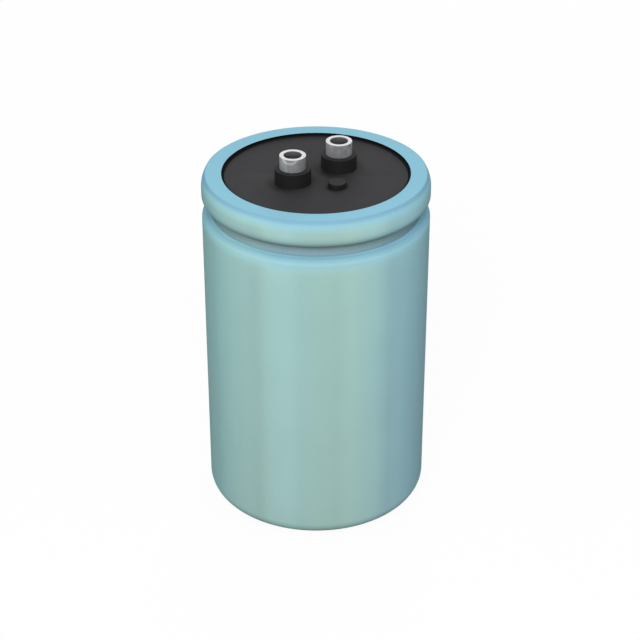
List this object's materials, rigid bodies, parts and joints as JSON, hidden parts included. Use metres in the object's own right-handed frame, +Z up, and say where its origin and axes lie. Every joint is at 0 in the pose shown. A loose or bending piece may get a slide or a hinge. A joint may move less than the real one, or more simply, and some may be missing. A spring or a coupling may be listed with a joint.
{
  "type": "electrolytic capacitor",
  "caption": "Large aluminium electrolytic capacitor in a beaded, sleeved can with a black moulded lid, two tapped screw terminals and a rubber vent plug",
  "frame": {"origin": "centre of the foot, on the surface it stands on", "axes": "+Z up the can's axis, +X through the two terminals towards the positive one, vent plug towards -Y"},
  "size_m": [0.066, 0.066, 0.1124],
  "materials": {
    "sleeve_film": "satin shrink film, blue-green",
    "can_metal": "drawn, bare",
    "end_film": "matt film",
    "seal_rubber": "matt",
    "lid_plastic": "fine moulded grain",
    "terminal_metal": "turned",
    "vent_rubber": "matt",
    "roll_paper": "wound edges of foil and soaked paper",
    "tape_film": "clear brown film",
    "board_fibre": "pressed board",
    "disc_paper": "matt",
    "tab_foil": "rolled strip",
    "rivet_metal": "plain"
  },
  "bodies": {
    "root": {"sleeve": "sleeve_film", "can": "can_metal", "end_disc": "end_film", "gasket": "seal_rubber", "deck": "lid_plastic", "positive_terminal": "terminal_metal", "negative_terminal": "terminal_metal", "vent_plug": "vent_rubber", "winding": "roll_paper", "closing_tape": "tape_film", "base_board": "board_fibre", "top_disc": "disc_paper", "positive_tab_1": "tab_foil", "positive_tab_2": "tab_foil", "positive_tab_3": "tab_foil", "negative_tab_1": "tab_foil", "negative_tab_2": "tab_foil", "negative_tab_3": "tab_foil", "positive_washer": "rivet_metal", "negative_washer": "rivet_metal", "positive_rivet": "rivet_metal", "negative_rivet": "rivet_metal"}
  },
  "joints": []
}
